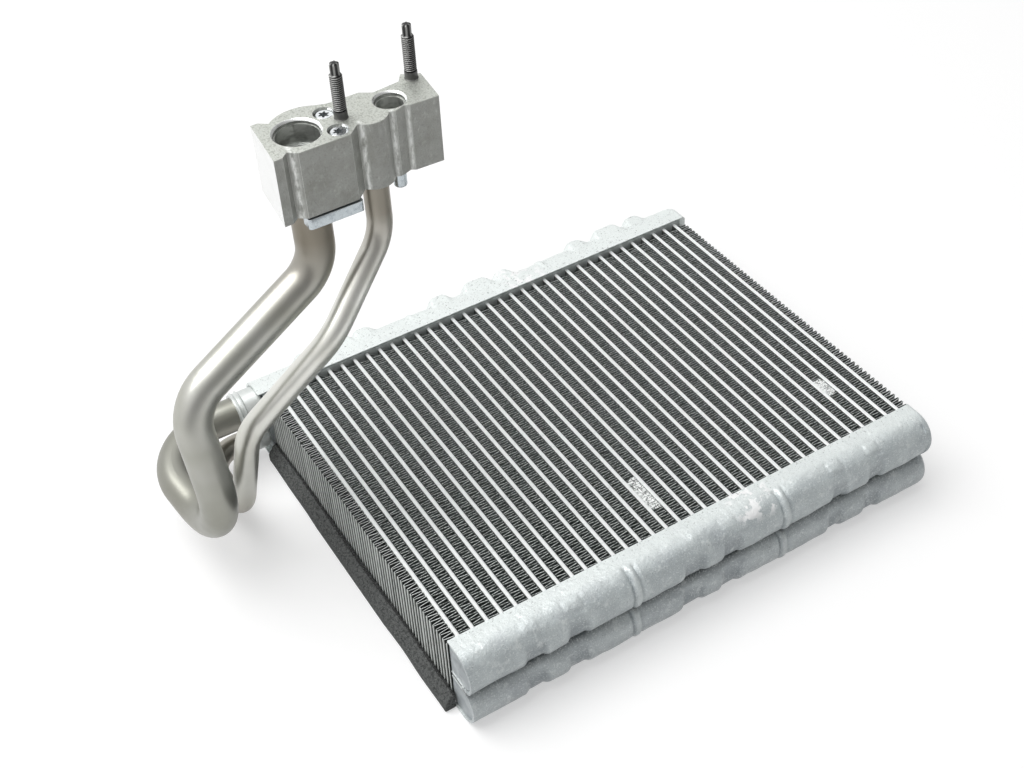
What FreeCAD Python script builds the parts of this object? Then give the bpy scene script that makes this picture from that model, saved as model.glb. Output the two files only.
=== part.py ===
"""Evaporator core: a brazed stack of flat tubes and corrugated fins between two
double-barrel headers, with its suction pipe, liquid pipe and connector block.

Millimetres. +X runs along the headers, +Y along the tubes from the near header
to the far header, +Z up, with the part lying on one face of the core. The shapes
are drawn with X = 0 and Y = 0 at the middle of the core and Z = 0 on the floor,
and are then moved so that the origin is the bottom centre of the whole part.
"""
import FreeCAD, Part
import math
import os

V = FreeCAD.Vector
X_AXIS = V(1, 0, 0)
Y_AXIS = V(0, 1, 0)
Z_AXIS = V(0, 0, 1)

# clearances
braze_gap = 0.05
slide_gap = 0.1

# flat tubes
tube_count = 35
tube_pitch = 8.0
tube_thickness = 2.1
tube_depth = 43.0
tube_nose_chamfer = 0.6
tube_wall = 0.35
tube_rib = 1.0
tube_insertion = 1.2
core_length = 202.3

# corrugated fins, with the metal of many fine waves in fewer thick ones
fin_waves = 12
fin_sheet = 0.34
fin_depth = 41.6
fin_end_gap = 0.8

# headers: two barrels side by side, open towards the core
header_proud = 3.2
barrel_overlap = 3.4
barrel_setback = 7.5
header_wall = 1.6
header_web = 2.4
near_header_start = -143.0
near_header_end = 137.5
far_header_start = -147.2
far_header_end = 140.0
plate_thickness = 1.6
plate_recess = 0.6

# stamped bands round the barrels: wide shallow flats and pairs of narrow grooves
flat_band_places = [12.0, 80.5, 105.0]
flat_band_width = 9.5
flat_band_depth = 0.9
flat_band_slope = 1.8
groove_pair_place = 45.0
groove_pair_spacing = 5.5
groove_width = 2.6
groove_depth = 0.8

# hollow bulges along the far header's upper barrel: place, width and height of each
bulges = [(-112.0, 14.0, 3.8), (-90.0, 18.0, 4.0), (-74.0, 14.0, 3.8), (-23.5, 15.0, 4.4), (2.5, 20.0, 4.8),
          (20.5, 13.0, 4.4), (72.5, 14.0, 4.0), (95.5, 20.0, 4.4), (115.5, 14.0, 4.2)]
bulge_radius = 6.2
bulge_angle = 48.0

# end caps, baffles and the opening between the barrels
inner_cap_thickness = 2.4
inner_cap_recess = 1.4
inner_cap_front = 0.1
outer_cap_thickness = 4.0
outer_cap_round = 2.5
baffle_thickness = 2.0
crossover_length = 60.0
crossover_height = 9.0

# suction pipe, 3/4 inch, and its sleeve
suction_od = 19.05
suction_wall = 1.5
suction_run_out = 63.0
suction_elbow = (-200.2, 10.0, 33.8)
suction_rise = (-202.0, 33.9, 122.8)
suction_top_bend = 165.8
suction_radii = [33.0, 37.0, 27.0, 22.0]
suction_sleeve_wall = 1.4
suction_sleeve_length = 13.3
suction_sleeve_socket = 10.0
suction_neck_radius = 6.8

# liquid pipe, 1/2 inch, and its sleeve
liquid_od = 12.7
liquid_wall = 1.2
liquid_run_out = 34.0
liquid_elbow_y = 58.9
liquid_rise = (-174.4, 39.0, 86.0)
liquid_kink = (-125.9, 28.9, 132.6)
liquid_top_bend = 170.2
liquid_radii = [17.5, 25.0, 28.8, 45.0, 22.0]
liquid_sleeve_wall = 1.2
liquid_sleeve_length = 9.0
liquid_sleeve_socket = 6.5
liquid_neck_radius = 5.2

sleeve_neck_wall = 1.2
sleeve_bead_height = 0.9
sleeve_bead_width = 1.5

# connector block, sawn from an extruded profile
block_bottom = 204.8
block_height = 35.0
block_outline = [(-15.1, 16.5), (-18.3, -15.4), (-13.9, -15.1), (-10.7, -12.3), (-6.6, -15.6),
                 (19.0, -15.4), (24.8, -10.0), (28.6, -12.6), (34.6, -13.6), (41.3, -9.0), (44.2, -9.9),
                 (49.8, -8.0), (52.2, -9.4), (66.6, -9.9), (69.2, 12.0), (60.8, 16.6), (57.2, 11.4),
                 (46.4, 10.2), (43.0, 9.8), (37.5, 13.6), (21.5, 13.6), (15.7, 15.7), (3.5, 18.4),
                 (-7.5, 13.4), (-11.5, 16.6)]
block_arcs = [7, 16, 21]
suction_port = (-121.3, 43.75)
suction_mouth_bore = 21.4
suction_port_bore = 20.3
suction_port_depth = 12.1
suction_port_chamfer = 1.0
suction_shoulder_bore = 16.2
suction_socket_depth = 16.0
liquid_port_offset = 46.4
liquid_mouth_bore = 14.2
liquid_port_bore = 12.5
liquid_port_depth = 12.0
liquid_port_chamfer = 0.9
mouth_depth = 2.3
liquid_pipe_offset = 34.4
liquid_socket_depth = 14.0
liquid_passage_bore = 7.0
liquid_cross_bore = 6.0

# retainer fork under the block, and the screws that hold it
fork_left = -128.4
fork_right = -100.6
fork_front = 27.4
fork_back = 60.0
fork_thickness = 5.5
fork_corner_radius = 1.5
fork_gap = 0.6
bead_radius = 11.3
bead_height = 3.2
screw_places = [(-104.6, 51.0), (-105.3, 34.8)]
screw_diameter = 5.0
screw_head_diameter = 8.6
screw_head_height = 3.2
screw_head_chamfer = 0.5
screw_recess_diameter = 10.0
screw_recess_depth = 4.0

# studs and the plug below the liquid port
stud_places = [(-99.6, 43.15), (-57.5, 54.85)]
stud_diameter = 6.0
stud_root_diameter = 6.6
stud_root_length = 12.0
stud_collar_diameter = 6.8
stud_collar_height = 4.0
stud_thread_height = 18.0
stud_thread_lead = 0.8
stud_point_diameter = 4.2
stud_point_height = 5.5
stud_point_chamfer = 0.4
plug_offset = (0.8, -0.5)
plug_diameter = 6.6
plug_outside = 11.5
plug_inside = 7.0
plug_end_radius = 1.0

# foam strip along the left side, resting on the floor
foam_width = 6.2
foam_inner_height = 13.0
foam_outer_height = 6.8
foam_edge_height = 5.3
foam_edge_width = 0.7
foam_crown_width = 2.8
foam_crown_height = 10.5
foam_near_overhang = 2.8
foam_far_gap = 1.1

# places that follow from the sizes above
header_height = tube_depth + 2 * header_proud
barrel_radius = (header_height + barrel_overlap) / 4
barrel_spacing = header_height - 2 * barrel_radius
mid_z = header_height / 2
upper_z = mid_z + barrel_spacing / 2
lower_z = mid_z - barrel_spacing / 2
core_half = core_length / 2
barrel_y = core_half + barrel_setback
plate_back = plate_recess + plate_thickness
tube_reach = plate_back + tube_insertion
bore_radius = barrel_radius - header_wall
mouth_low = header_wall
mouth_high = header_height - header_wall
fin_gap = tube_pitch - tube_thickness
block_top = block_bottom + block_height
liquid_port = (suction_port[0] + liquid_port_offset, suction_port[1])
liquid_entry = (suction_port[0] + liquid_pipe_offset, suction_port[1])
plug_place = (liquid_port[0] + plug_offset[0], liquid_port[1] + plug_offset[1])
fork_top = block_bottom - fork_gap


def box(x0, x1, y0, y1, z0, z1):
    return Part.makeBox(x1 - x0, y1 - y0, z1 - z0, V(x0, y0, z0))


def rod(x, y, z0, z1, diameter):
    return Part.makeCylinder(diameter / 2, z1 - z0, V(x, y, z0), Z_AXIS)


def prism_y(points, y0, y1):
    """A closed outline of (x, z) points, pushed from y0 to y1."""
    wire = Part.makePolygon([V(x, y0, z) for x, z in points + points[:1]])
    return Part.Face(wire).extrude(V(0, y1 - y0, 0))


def turned(profile, centre, axis, side):
    """A profile of (along, radius) points turned once round an axis through centre."""
    points = [centre + axis * a + side * r for a, r in profile]
    face = Part.Face(Part.makePolygon(points + points[:1]))
    return face.revolve(centre, axis, 360)


def flat_tube(x):
    """A flat tube with chamfered noses and two channels, one for each barrel."""
    half = tube_thickness / 2
    flat = half - tube_nose_chamfer
    low = mid_z - tube_depth / 2
    high = mid_z + tube_depth / 2
    c = tube_nose_chamfer
    outline = [(x - flat, low), (x + flat, low), (x + half, low + c), (x + half, high - c),
               (x + flat, high), (x - flat, high), (x - half, high - c), (x - half, low + c)]
    end = core_half + tube_reach
    tube = prism_y(outline, -end, end)
    inner = half - tube_wall
    for z0, z1 in ((low + tube_rib, mid_z - tube_rib / 2), (mid_z + tube_rib / 2, high - tube_rib)):
        tube = tube.cut(box(x - inner, x + inner, -end - 1, end + 1, z0, z1))
    return tube


def fin_strip(x):
    """One corrugated strip, its crests a braze gap from the tubes at both sides."""
    low = mid_z - fin_depth / 2
    legs = 2 * fin_waves + 1
    start = -core_half + fin_end_gap
    step = -2 * start / legs
    crest = fin_gap / 2 - braze_gap
    valley = crest - fin_sheet * math.hypot(2 * crest, step) / step
    left = []
    right = []
    for i in range(legs + 1):
        y = start + i * step
        left.append(V(x + (valley if i % 2 else -crest), y, low))
        right.append(V(x + (crest if i % 2 else -valley), y, low))
    outline = left + right[::-1]
    face = Part.Face(Part.makePolygon(outline + outline[:1]))
    return face.extrude(V(0, 0, fin_depth))


def dip(place, width, slope, depth):
    """The points of one stamped band: down a slope, along its floor and up again."""
    return [(place - width / 2, barrel_radius), (place - width / 2 + slope, barrel_radius - depth),
            (place + width / 2 - slope, barrel_radius - depth), (place + width / 2, barrel_radius)]


def notch(place):
    return [(place - groove_width / 2, barrel_radius), (place, barrel_radius - groove_depth),
            (place + groove_width / 2, barrel_radius)]


def barrel_profile(x0, x1):
    bands = []
    for place in flat_band_places:
        for side in (-place, place):
            bands.append(dip(side, flat_band_width, flat_band_slope, flat_band_depth))
    for side in (-groove_pair_place, groove_pair_place):
        for offset in (-groove_pair_spacing / 2, groove_pair_spacing / 2):
            bands.append(notch(side + offset))
    bands = [b for b in sorted(bands) if b[0][0] > x0 and b[-1][0] < x1]
    outline = [(x0, 0), (x0, barrel_radius)]
    for band in bands:
        outline += band
    return outline + [(x1, barrel_radius), (x1, 0)]


def lobes(x0, x1, radius, gap):
    """The outer halves of both barrels, plain, with a gap left between them."""
    halves = []
    for z, z0, z1 in ((upper_z, mid_z + gap / 2, header_height), (lower_z, 0, mid_z - gap / 2)):
        barrel = Part.makeCylinder(radius, x1 - x0, V(x0, barrel_y, z), X_AXIS)
        halves.append(barrel.common(box(x0, x1, barrel_y, barrel_y + barrel_radius, z0, z1)))
    return halves


def inside(x0, x1, front, gap, clearance):
    """The space inside the cover from the depth front outwards, in two halves."""
    halves = lobes(x0, x1, bore_radius - clearance, gap + 2 * clearance)
    low = mouth_low + clearance
    high = mouth_high - clearance
    edge = gap / 2 + clearance
    y0 = core_half + front
    halves[0] = halves[0].fuse(box(x0, x1, y0, barrel_y, mid_z + edge, high))
    halves[1] = halves[1].fuse(box(x0, x1, y0, barrel_y, low, mid_z - edge))
    return halves


def banded_cover(x0, x1):
    """The outer form: two banded half barrels on a straight-sided mouth."""
    cover = box(x0, x1, core_half, barrel_y, 0, header_height)
    for z, z0, z1 in ((upper_z, mid_z, header_height), (lower_z, 0, mid_z)):
        points = [V(x, barrel_y, z + r) for x, r in barrel_profile(x0, x1)]
        face = Part.Face(Part.makePolygon(points + points[:1]))
        half = face.revolve(V(0, barrel_y, z), X_AXIS, -180)
        reach = barrel_y + barrel_radius
        cover = cover.fuse(half.common(box(x0, x1, barrel_y, reach + 1, z0, z1)))
    return cover.removeSplitter()


def bulge(place, width, height, radius):
    """A round-ended form of that radius along the upper barrel, standing out of its upper side."""
    out = barrel_radius + height - bulge_radius
    turn = math.radians(bulge_angle)
    centre = V(place, barrel_y + out * math.sin(turn), upper_z + out * math.cos(turn))
    half = width / 2 - bulge_radius
    side = radius * math.sqrt(0.5)
    ends = []
    for way in (-1, 1):
        tip = V(way * (half + radius), 0, 0)
        ends.append(Part.Arc(tip, V(way * (half + side), 0, side), V(way * half, 0, radius)).toShape())
    top = Part.makeLine(V(-half, 0, radius), V(half, 0, radius))
    axis = Part.makeLine(V(half + radius, 0, 0), V(-half - radius, 0, 0))
    form = Part.Face(Part.Wire(Part.__sortEdges__([*ends, top, axis]))).revolve(V(0, 0, 0), X_AXIS, 360)
    form.translate(centre)
    return form


def tank_cover(x0, x1, crossover_x, bulged):
    """The double barrel shell, its middle web cut back for tubes and the inner cap."""
    cover = banded_cover(x0, x1)
    roof = upper_z + 2 * barrel_radius
    outside = box(x0, x1, barrel_y, barrel_y + barrel_radius, upper_z, roof)
    within = box(x0, x1, barrel_y, barrel_y + bore_radius, upper_z, roof)
    for place, width, height in bulged:
        cover = cover.fuse(bulge(place, width, height, bulge_radius).common(outside))
        hollow = bulge(place, width, height, bulge_radius - header_wall)
        cover = cover.cut(hollow.common(within))
    for half in inside(x0 - 1, x1 + 1, -1, header_web, 0):
        cover = cover.cut(half)
    web_front = core_half + tube_reach + slide_gap
    cover = cover.cut(box(x0 - 1, x1 + 1, core_half - 1, web_front, mouth_low, mouth_high))
    cap_end = x0 + inner_cap_recess + inner_cap_thickness + slide_gap
    for half in inside(x0 - 1, cap_end, -1, 0, 0):
        cover = cover.cut(half)
    crossover = box(crossover_x - crossover_length / 2, crossover_x + crossover_length / 2,
                    barrel_y - crossover_height / 2, barrel_y + crossover_height / 2,
                    mid_z - header_web, mid_z + header_web)
    return cover.cut(crossover)


def inner_cap(x0):
    """The plate sunk in a cover's left end, shaped to both barrels."""
    x1 = x0 + inner_cap_recess
    halves = inside(x1, x1 + inner_cap_thickness, inner_cap_front, -2 * braze_gap, braze_gap)
    return halves[0].fuse(halves[1]).removeSplitter()


def outer_cap(x0):
    """The cap on a cover's right end, flush with its outside and rounded off."""
    x1 = x0 + outer_cap_thickness
    cap = box(x0, x1, core_half, barrel_y, 0, header_height)
    for half in lobes(x0, x1, barrel_radius, 0):
        cap = cap.fuse(half)
    cap = cap.removeSplitter()
    radius = min(outer_cap_round, outer_cap_thickness * 0.7)
    edges = [e for e in cap.Edges if abs(e.BoundBox.XMin - x1) < 0.01 and abs(e.BoundBox.XMax - x1) < 0.01]
    edges = [e for e in edges if e.BoundBox.YMax > core_half + 0.5]
    return cap.makeFillet(radius, edges)


def header_plate(header_start, x1):
    """The slotted sheet that the tubes pass through, in the cover's mouth beside its left cap."""
    x0 = header_start + inner_cap_recess + inner_cap_thickness + braze_gap
    y0 = core_half + plate_recess
    plate = box(x0, x1, y0, y0 + plate_thickness, mouth_low + braze_gap, mouth_high - braze_gap)
    half = tube_thickness / 2 + braze_gap
    depth = tube_depth / 2 + braze_gap
    for x in tube_places:
        slot = box(x - half, x + half, y0 - 1, y0 + plate_thickness + 1, mid_z - depth, mid_z + depth)
        plate = plate.cut(slot)
    return plate


def baffle_pair(x):
    halves = inside(x - baffle_thickness / 2, x + baffle_thickness / 2,
                    tube_reach + slide_gap, header_web, braze_gap)
    return Part.makeCompound(halves)


def mirrored(shape):
    """The same shape at the near header, drawn first at the far one."""
    return shape.mirror(V(0, 0, 0), Y_AXIS)


def bent_pipe(points, radii, outer, wall):
    """A hollow pipe of straight runs and tangent bends, and its centre line's length."""
    points = [V(*p) for p in points]
    pieces = []
    length = 0
    start = points[0]
    for i in range(1, len(points)):
        back = (points[i] - points[i - 1]).normalize()
        turn = 0
        if i < len(points) - 1:
            onward = (points[i + 1] - points[i]).normalize()
            turn = back.getAngle(onward)
        trim = radii[i - 1] * math.tan(turn / 2) if turn else 0
        stop = points[i] - back * trim
        ring = ring_face(start, back, outer, wall)
        pieces.append(ring.extrude(stop - start))
        length += (stop - start).Length
        if turn:
            axis = back.cross(onward).normalize()
            centre = stop + axis.cross(back) * radii[i - 1]
            ring = ring_face(stop, back, outer, wall)
            pieces.append(ring.revolve(centre, axis, math.degrees(turn)))
            length += radii[i - 1] * turn
            start = points[i] + onward * trim
    pipe = pieces[0].multiFuse(pieces[1:])
    return pipe, length


def ring_face(centre, normal, outer, wall):
    rim = Part.Wire(Part.makeCircle(outer / 2, centre, normal))
    hole = Part.Wire(Part.makeCircle(outer / 2 - wall, centre, normal))
    return Part.Face([rim, hole])


def sleeve(z, pipe_od, neck, wall, length, socket, beads):
    """A turned sleeve with a neck through the far header's left cap, and beads near its mouth."""
    x_in = far_header_start + inner_cap_recess + inner_cap_thickness
    x_step = far_header_start + inner_cap_recess - braze_gap
    x_out = far_header_start - length
    seat = pipe_od / 2 + braze_gap
    outer = seat + wall
    raised = outer + sleeve_bead_height
    profile = [(x_in, neck - sleeve_neck_wall), (x_in, neck), (x_step, neck), (x_step, outer)]
    for k in range(beads):
        x = x_out + (2 * (beads - k) - 0.5) * sleeve_bead_width
        profile += [(x, outer), (x - sleeve_bead_width / 2, raised), (x - sleeve_bead_width, outer)]
    profile += [(x_out, outer), (x_out, seat), (x_out + socket, seat),
                (x_out + socket, neck - sleeve_neck_wall)]
    return turned(profile, V(0, barrel_y, z), X_AXIS, Z_AXIS)


def block_profile():
    """The extruded outline, its points taken in order, with an arc through three where one starts."""
    places = [V(suction_port[0] + u, suction_port[1] + v, block_bottom) for u, v in block_outline]
    places.append(places[0])
    edges = []
    i = 0
    while i < len(block_outline):
        if i in block_arcs:
            edges.append(Part.Arc(*places[i:i + 3]).toShape())
            i += 2
        else:
            edges.append(Part.makeLine(places[i], places[i + 1]))
            i += 1
    return Part.Face(Part.Wire(edges))


def connector_block():
    block = block_profile().extrude(V(0, 0, block_height))
    sx, sy = suction_port
    lx, ly = liquid_port
    ex, ey = liquid_entry
    top = block_top
    low = block_bottom
    cuts = [rod(sx, sy, top - suction_port_depth, top, suction_port_bore),
            rod(sx, sy, low, top, suction_shoulder_bore),
            rod(sx, sy, low, low + suction_socket_depth, suction_od + 2 * braze_gap),
            rod(sx, sy, low, low + bead_height - fork_gap, 2 * (bead_radius + slide_gap)),
            rod(sx, sy, top - mouth_depth, top, suction_mouth_bore),
            chamfer_cone(sx, sy, suction_mouth_bore, suction_port_chamfer),
            rod(lx, ly, top - liquid_port_depth, top, liquid_port_bore),
            rod(lx, ly, top - mouth_depth, top, liquid_mouth_bore),
            chamfer_cone(lx, ly, liquid_mouth_bore, liquid_port_chamfer),
            rod(ex, ey, low, low + liquid_socket_depth, liquid_od + 2 * braze_gap)]
    passage = (low + liquid_socket_depth + top - liquid_port_depth) / 2
    reach = liquid_passage_bore / 2
    cuts.append(rod(ex, ey, low, passage + reach, liquid_passage_bore))
    cuts.append(rod(lx, ly, passage - reach, top, liquid_passage_bore))
    cuts.append(Part.makeCylinder(liquid_cross_bore / 2, lx - ex, V(ex, ey, passage), X_AXIS))
    cuts.append(rod(*plug_place, low, passage, plug_diameter + 2 * braze_gap))
    for x, y in screw_places:
        cuts.append(rod(x, y, low, top, screw_diameter + 4 * slide_gap))
        cuts.append(rod(x, y, top - screw_recess_depth, top, screw_recess_diameter))
    for x, y in stud_places:
        cuts.append(rod(x, y, top - stud_root_length - slide_gap, top, stud_root_diameter + 2 * braze_gap))
    for cut in cuts:
        block = block.cut(cut)
    return block


def chamfer_cone(x, y, bore, size):
    return Part.makeCone(bore / 2, bore / 2 + size, size, V(x, y, block_top - size), Z_AXIS)


def retainer_fork():
    """A plate slotted from the left to pass the pipe under its bead."""
    z0 = fork_top - fork_thickness
    fork = box(fork_left, fork_right, fork_front, fork_back, z0, fork_top)
    corners = [e for e in fork.Edges if abs(e.BoundBox.ZLength - fork_thickness) < 0.01]
    fork = fork.makeFillet(fork_corner_radius, corners)
    sx, sy = suction_port
    half = suction_od / 2 + slide_gap
    fork = fork.cut(box(fork_left - 1, sx, sy - half, sy + half, z0 - 1, fork_top + 1))
    fork = fork.cut(rod(sx, sy, z0 - 1, fork_top + 1, 2 * half))
    for x, y in screw_places:
        fork = fork.cut(rod(x, y, z0 - 1, fork_top + 1, screw_diameter + 2 * braze_gap))
    return fork


def retainer_screw(x, y):
    seat = block_top - screw_recess_depth
    shank = rod(x, y, fork_top - fork_thickness, seat, screw_diameter)
    head = rod(x, y, seat, seat + screw_head_height, screw_head_diameter)
    rim = [e for e in head.Edges if e.BoundBox.ZMin > seat + screw_head_height - 0.01]
    return shank.fuse(head.makeChamfer(screw_head_chamfer, rim))


def stud(x, y):
    """A stud: a root pressed into the block, a collar, a thread to its major diameter and a dog point."""
    collar_top = stud_collar_height
    thread_top = collar_top + stud_thread_height
    point_top = thread_top + stud_point_height
    shank = stud_diameter / 2
    root = stud_root_diameter / 2
    point = stud_point_diameter / 2
    tip = point - stud_point_chamfer
    profile = [(-stud_root_length, 0), (-stud_root_length, root), (0, root), (0, stud_collar_diameter / 2),
               (collar_top, stud_collar_diameter / 2), (collar_top, shank),
               (thread_top - stud_thread_lead, shank), (thread_top, point),
               (point_top - stud_point_chamfer, point), (point_top, tip), (point_top, 0)]
    return turned(profile, V(x, y, block_top), Z_AXIS, X_AXIS)


def plug():
    body = rod(*plug_place, block_bottom - plug_outside, block_bottom + plug_inside, plug_diameter)
    rim = [e for e in body.Edges if e.BoundBox.ZMax < block_bottom - plug_outside + 0.01]
    return body.makeFillet(plug_end_radius, rim)


def foam_strip():
    """A strip with a sloping top, stuck to the outer fin's lower edge."""
    inner = -(tube_count - 1) / 2 * tube_pitch - tube_thickness / 2 - fin_gap - braze_gap
    inner = min(inner, near_header_start) - slide_gap
    outer = inner - foam_width
    outline = [(inner, 0), (inner, foam_inner_height), (inner - foam_crown_width, foam_crown_height),
               (outer + foam_edge_width, foam_outer_height), (outer, foam_edge_height), (outer, 0)]
    return prism_y(outline, -core_half - foam_near_overhang, core_half - foam_far_gap)


first_tube = -(tube_count - 1) / 2 * tube_pitch
tube_places = [first_tube + k * tube_pitch for k in range(tube_count)]
fin_places = [first_tube + (k - 0.5) * tube_pitch for k in range(tube_count + 1)]

shapes = {}
for k, x in enumerate(tube_places):
    shapes["tube_%02d" % (k + 1)] = flat_tube(x)
shapes["left_outer_fin"] = fin_strip(fin_places[0])
shapes["right_outer_fin"] = fin_strip(fin_places[-1])
shapes["inner_fins"] = Part.makeCompound([fin_strip(x) for x in fin_places[1:-1]])

near_middle = (groove_pair_place + near_header_end) / 2
shapes["near_tank_cover"] = mirrored(tank_cover(near_header_start, near_header_end, near_middle, []))
shapes["far_tank_cover"] = tank_cover(far_header_start, far_header_end, near_middle, bulges)
shapes["near_header_plate"] = mirrored(header_plate(near_header_start, near_header_end))
shapes["far_header_plate"] = header_plate(far_header_start, far_header_end)
shapes["near_right_cap"] = mirrored(outer_cap(near_header_end))
shapes["far_right_cap"] = outer_cap(far_header_end)
shapes["near_left_cap"] = mirrored(inner_cap(near_header_start))
far_left_cap = inner_cap(far_header_start)
cap_depth = inner_cap_recess + inner_cap_thickness
for z, neck in ((upper_z, suction_neck_radius), (lower_z, liquid_neck_radius)):
    hole = Part.makeCylinder(neck + braze_gap, 2 * cap_depth, V(far_header_start, barrel_y, z), X_AXIS)
    far_left_cap = far_left_cap.cut(hole)
shapes["far_left_cap"] = far_left_cap
shapes["near_baffles"] = mirrored(baffle_pair(groove_pair_place))
shapes["far_baffles"] = baffle_pair(-groove_pair_place)

shapes["suction_sleeve"] = sleeve(upper_z, suction_od, suction_neck_radius, suction_sleeve_wall,
                                  suction_sleeve_length, suction_sleeve_socket, 2)
shapes["liquid_sleeve"] = sleeve(lower_z, liquid_od, liquid_neck_radius, liquid_sleeve_wall,
                                 liquid_sleeve_length, liquid_sleeve_socket, 1)

suction_start = far_header_start - suction_sleeve_length + suction_sleeve_socket - slide_gap
suction_points = [(suction_start, barrel_y, upper_z),
                  (far_header_start - suction_run_out, barrel_y, upper_z),
                  suction_elbow, suction_rise,
                  (suction_port[0], suction_port[1], suction_top_bend),
                  (suction_port[0], suction_port[1], block_bottom + suction_socket_depth - slide_gap)]
suction_pipe, suction_length = bent_pipe(suction_points, suction_radii, suction_od, suction_wall)
bead = rod(suction_port[0], suction_port[1], fork_top + braze_gap,
           block_bottom + bead_height - fork_gap - slide_gap, 2 * bead_radius)
bead = bead.cut(rod(suction_port[0], suction_port[1], block_bottom - 5, block_bottom + 5,
                    suction_od - suction_wall))
shapes["suction_pipe"] = suction_pipe.fuse(bead)

liquid_start = far_header_start - liquid_sleeve_length + liquid_sleeve_socket - slide_gap
liquid_corner_x = far_header_start - liquid_run_out
liquid_points = [(liquid_start, barrel_y, lower_z),
                 (liquid_corner_x, barrel_y, lower_z),
                 (liquid_corner_x, liquid_elbow_y, lower_z),
                 liquid_rise, liquid_kink,
                 (liquid_entry[0], liquid_entry[1], liquid_top_bend),
                 (liquid_entry[0], liquid_entry[1], block_bottom + liquid_socket_depth - slide_gap)]
liquid_pipe, liquid_length = bent_pipe(liquid_points, liquid_radii, liquid_od, liquid_wall)
shapes["liquid_pipe"] = liquid_pipe

shapes["connector_block"] = connector_block()
shapes["retainer_fork"] = retainer_fork()
shapes["retainer_screws"] = Part.makeCompound([retainer_screw(x, y) for x, y in screw_places])
shapes["stud_near"] = stud(*stud_places[0])
shapes["stud_far"] = stud(*stud_places[1])
shapes["port_plug"] = plug()
shapes["foam_strip"] = foam_strip()

whole = FreeCAD.BoundBox()
for shape in shapes.values():
    whole.add(shape.optimalBoundingBox(False))
to_origin = V(-whole.Center.x, -whole.Center.y, -whole.ZMin)

os.makedirs("parts", exist_ok=True)
for name, shape in shapes.items():
    shape.translate(to_origin)
    shape.exportStep("parts/%s.step" % name)

print("moved by", to_origin)
print("size", whole.XLength, whole.YLength, whole.ZLength)
print("pipe lengths", suction_length, liquid_length)
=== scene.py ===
import bpy
import bmesh
import math
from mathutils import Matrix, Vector, noise


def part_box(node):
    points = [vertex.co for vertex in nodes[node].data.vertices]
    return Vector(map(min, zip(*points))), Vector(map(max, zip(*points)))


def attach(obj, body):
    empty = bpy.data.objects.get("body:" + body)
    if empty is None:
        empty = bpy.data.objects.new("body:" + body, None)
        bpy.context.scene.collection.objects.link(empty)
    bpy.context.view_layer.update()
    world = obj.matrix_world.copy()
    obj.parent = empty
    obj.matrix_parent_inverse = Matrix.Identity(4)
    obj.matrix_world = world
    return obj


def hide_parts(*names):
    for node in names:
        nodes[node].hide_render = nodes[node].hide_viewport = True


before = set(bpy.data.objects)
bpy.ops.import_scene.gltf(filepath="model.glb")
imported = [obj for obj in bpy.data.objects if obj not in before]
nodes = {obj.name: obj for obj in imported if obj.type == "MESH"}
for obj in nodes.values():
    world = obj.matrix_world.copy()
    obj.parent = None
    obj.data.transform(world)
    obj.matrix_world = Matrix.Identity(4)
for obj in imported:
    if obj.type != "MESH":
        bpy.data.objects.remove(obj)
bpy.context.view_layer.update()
mm = 0.001


# Flat tubes: thin folded aluminium with its long edges up, bright matt from brazing.
# They carry the refrigerant between the headers, and the fins are brazed to their sides.

def new_group(name, inputs, outputs):
    """A shader node group with its named sockets, and its input and output nodes."""
    group = bpy.data.node_groups.new(name, "ShaderNodeTree")
    for label, kind, value in inputs:
        group.interface.new_socket(label, in_out="INPUT", socket_type=kind).default_value = value
    for label, kind in outputs:
        group.interface.new_socket(label, in_out="OUTPUT", socket_type=kind)
    return group, group.nodes.new("NodeGroupInput"), group.nodes.new("NodeGroupOutput")


def build_mottle():
    """Cloudy patches: a mask that runs from 0 below Low to 1 above High."""
    group, given, result = new_group(
        "mottle",
        [("Scale", "NodeSocketFloat", 100.0), ("Stretch", "NodeSocketVector", (1, 1, 1)),
         ("Detail", "NodeSocketFloat", 4.0), ("Low", "NodeSocketFloat", 0.4),
         ("High", "NodeSocketFloat", 0.6)],
        [("Mask", "NodeSocketFloat")])
    place = group.nodes.new("ShaderNodeTexCoord")
    mapping = group.nodes.new("ShaderNodeMapping")
    cloud = group.nodes.new("ShaderNodeTexNoise")
    cloud.inputs["Roughness"].default_value = 0.62
    limits = group.nodes.new("ShaderNodeMapRange")
    link = group.links.new
    link(place.outputs["Object"], mapping.inputs["Vector"])
    link(given.outputs["Stretch"], mapping.inputs["Scale"])
    link(mapping.outputs["Vector"], cloud.inputs["Vector"])
    link(given.outputs["Scale"], cloud.inputs["Scale"])
    link(given.outputs["Detail"], cloud.inputs["Detail"])
    link(cloud.outputs["Fac"], limits.inputs["Value"])
    link(given.outputs["Low"], limits.inputs["From Min"])
    link(given.outputs["High"], limits.inputs["From Max"])
    link(limits.outputs["Result"], result.inputs["Mask"])
    return group


mottle_group = build_mottle()


def shade(r, g, b):
    """A colour as the eye reads it, 0 to 255, in the shader's own linear values."""
    return tuple((c / 255) ** 2.2 for c in (r, g, b)) + (1,)


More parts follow.
